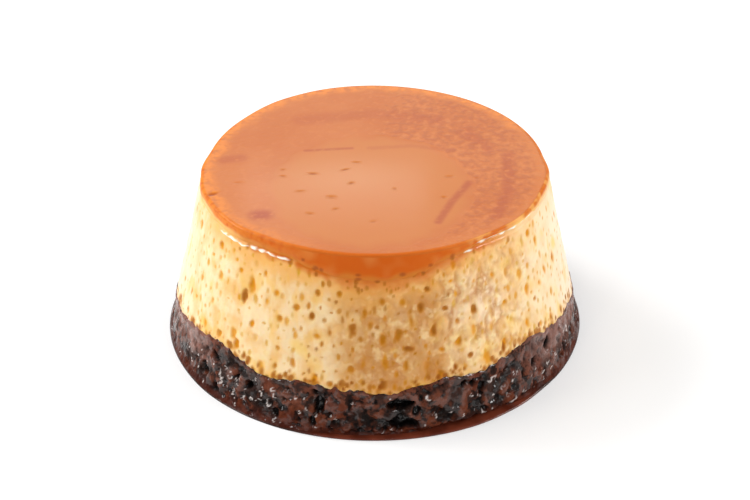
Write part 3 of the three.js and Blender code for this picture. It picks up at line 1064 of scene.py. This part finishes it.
def make_sponge():
    form = turned(drum(spread(0, 1, SPONGE_ROWS), SPONGE_RING), SPONGE_COLUMNS)
    mesh = finished("sponge_body", form, sponge_material(), "cake_base")
    angles, across, up = polar(coordinates(mesh))
    high = around(SPONGE_EDGE, angles) + SPONGE_LIP
    heights = (SPONGE_MIDDLE + (high - SPONGE_MIDDLE) * smooth(HALF_WAY, 1, across)) * up
    radii = mould_radius(angles, heights)
    on_side = across > ON_SIDE
    side = side_places(angles, radii, heights)[on_side]

    flank = smooth(0.1, 0.6, np.clip(in_patches(angles, SHEEN_FLANKS), 0, 1))
    rough = 1 - 0.5 * flank[on_side]
    broken = billows(side * (1, 1, 1.15), 6.0, 2)
    bits = billows(side, 2.6, 5)
    streaks = grain(side * (1, 1, 0.2), 1.4, 7)
    crags = (1.8 * (broken - 0.42) + 1.5 * (bits - 0.45)) * rough + 0.15 * streaks * (1 - rough)
    relief = -np.log(1 + np.exp(-PRESSING * only_on(on_side, crags))) / PRESSING
    ragged = only_on(on_side, 0.55 * grain(side, 2.4, 21) + 0.25 * grain(side, 1.0, 22))
    holes = holes_on(angles, heights, on_side, ragged)

    high_up = smooth(-2.0, -0.8, heights - high)
    relief = relief * smooth(0, 1.6, heights) * (1 - 0.8 * high_up)
    undercut = around(FOOT_RECESS, angles) * (1 - smooth(0.3, 2.4, heights))
    rolled = 0.9 * smooth(-0.7, 0, heights - high)
    moved = radii + relief - undercut - holes * (1 - high_up)
    moved = np.minimum(moved, radii - SKIN_DEPTH) - rolled
    moved = np.where(on_side, moved, across * (radii - CORE_INSET))
    crumbs = 0.7 * grain(side, 1.7, 8) + 0.4 * grain(side, 0.9, 10) + 0.9 * grain(side, 4, 9)
    crumbs = only_on(on_side, crumbs * up[on_side] ** 3)
    place_vertices(mesh, side_places(angles, moved, heights + crumbs))

    bent = only_on(on_side, grain(side, 1.1, 12))
    # Painted highlights in curls, standing for syrup glinting on wet crumbs.
    paint(mesh, "shine", 0.85 * shine_on(angles, heights, on_side, bent, holes))
    # Painted shade in the low places of the relief and in the holes.
    hollow = 0.95 * smooth(0.35, 0.9, -relief)
    paint(mesh, "hollow", np.maximum(hollow, smooth(0.2, 1.0, holes)))
    # Painted sheen on the flanks, fading out lower down, and a faint one on every upper part.
    upper = smooth(3.5, 8, heights)
    paint(mesh, "bare", np.maximum(flank * (0.02 + 0.98 * upper), 0.12 * upper))
    paint(mesh, "soaked", 0.7 * (1 - smooth(0.5, 4.0, heights)))


# --- Syrup ----------------------------------------------------------------------------------------

SYRUP_COLUMNS = 360
# The film's section, from its inner edge out along the floor and back over: (radius, height)
SYRUP_SECTION = [
    (42.6, 0.0), (45.8, 0.0), (45.97, 0.12), (45.9, 0.3), (45.6, 0.42), (45.0, 0.5), (44.4, 0.62),
    (43.8, 0.85), (43.3, 1.15), (42.8, 1.3), (42.6, 1.2),
]


def make_syrup():
    form = turned(SYRUP_SECTION + SYRUP_SECTION[:1], SYRUP_COLUMNS)
    mesh = finished("syrup_film", form, syrup_material(), "syrup_foot")
    angles, radii, heights = polar(coordinates(mesh))
    moved = radii - FOOT_RADIUS + mould_radius(angles, np.zeros(len(angles)))
    place_vertices(mesh, side_places(angles, moved, heights))
    paint(mesh, "crumbly", 1 - 0.9 * stretch(angles, -12, 42, 12))


# --- Stage ----------------------------------------------------------------------------------------

FLOOR_REACH = 6.0
PAPER_GREY = 0.76
PAPER_GLOW = 0.22
SKY_STRENGTH = 0.42
# The place in the pudding that the lights look at, in metres
LOOKED_AT = Vector((0, 0, 0.02))
# The small bright lights that glint in wet crumbs: (angle, elevation)
SPARKLES = [(-62, 34), (-38, 54), (-14, 40), (10, 62), (34, 36), (58, 50)]
# All the lights: (name, angle, elevation, distance, (width, height), power), in metres and watts
LIGHTS = [
    ("key_left", -86, 34, 0.7, (0.45, 0.075), 1.8),
    ("window_left", -118, 42, 0.8, (0.35, 0.3), 3.4),
    ("key_right", 86, 36, 0.7, (0.5, 0.09), 2.5),
    *((f"sparkle_{step}", *place, 0.7, (0.03, 0.03), 0.12) for step, place in enumerate(SPARKLES)),
    ("back_top", 180, 33, 0.9, (0.5, 0.4), 0.4),
    ("back_spot", 182, 32, 0.9, (0.12, 0.03), 0.014),
]
CAMERA_ELEVATION = 32.09
CAMERA_DISTANCE = 0.4457   # in metres, from the place that it aims at
CAMERA_ROLL = -0.003       # in radians
AIM_HEIGHT = 0.0174
LENS, SENSOR_WIDTH = 96.92, 36.0   # in millimetres


def make_floor():
    form = bmesh.new()
    bmesh.ops.create_grid(form, x_segments=2, y_segments=2, size=FLOOR_REACH)
    paper = Shader("paper")
    paper.set(
        Base_Color=(PAPER_GREY, PAPER_GREY, PAPER_GREY, 1), Roughness=0.9, Specular_IOR_Level=0.0,
        Emission_Color=(1, 1, 1, 1), Emission_Strength=PAPER_GLOW,
    )
    floor = new_object("floor", form, paper.material)
    floor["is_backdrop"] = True


def make_light(name, angle, elevation, distance, size, power):
    """A soft light that looks at the pudding, at an angle round it and above the floor."""
    light = bpy.data.lights.new(name, "AREA")
    light.shape = "RECTANGLE"
    light.size, light.size_y = size
    light.energy = power
    lamp = bpy.data.objects.new(name, light)
    bpy.context.scene.collection.objects.link(lamp)
    turn, rise = math.radians(angle), math.radians(elevation)
    level = math.cos(rise)
    away = Vector((math.sin(turn) * level, -math.cos(turn) * level, math.sin(rise)))
    lamp.location = LOOKED_AT + away * distance
    lamp.rotation_euler = away.to_track_quat("Z", "Y").to_euler()


def make_camera():
    elevation = math.radians(CAMERA_ELEVATION)
    camera = bpy.data.cameras.new("camera")
    camera.sensor_width = SENSOR_WIDTH
    camera.lens = LENS
    camera.clip_start = 0.01
    viewer = bpy.data.objects.new("camera", camera)
    bpy.context.scene.collection.objects.link(viewer)
    back = Vector((0, -math.cos(elevation), math.sin(elevation)))
    viewer.location = Vector((0, 0, AIM_HEIGHT)) + back * CAMERA_DISTANCE
    aim = back.to_track_quat("Z", "Y").to_matrix() @ Matrix.Rotation(CAMERA_ROLL, 3, "Z")
    viewer.rotation_euler = aim.to_euler()
    bpy.context.scene.camera = viewer


def make_world():
    world = bpy.data.worlds.new("studio")
    world.use_nodes = True
    backdrop = world.node_tree.nodes["Background"]
    backdrop.inputs["Color"].default_value = (1.0, 1.0, 1.0, 1.0)
    backdrop.inputs["Strength"].default_value = SKY_STRENGTH
    bpy.context.scene.world = world


make_custard()
make_caramel()
make_sponge()
make_syrup()
make_floor()
make_world()
for light_row in LIGHTS:
    make_light(*light_row)
make_camera()
bpy.context.scene.view_settings.view_transform = "Standard"

boxes = {"cad": cad_box, "visual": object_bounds()}
{name: [list(low), list(high)] for name, (low, high) in boxes.items()}
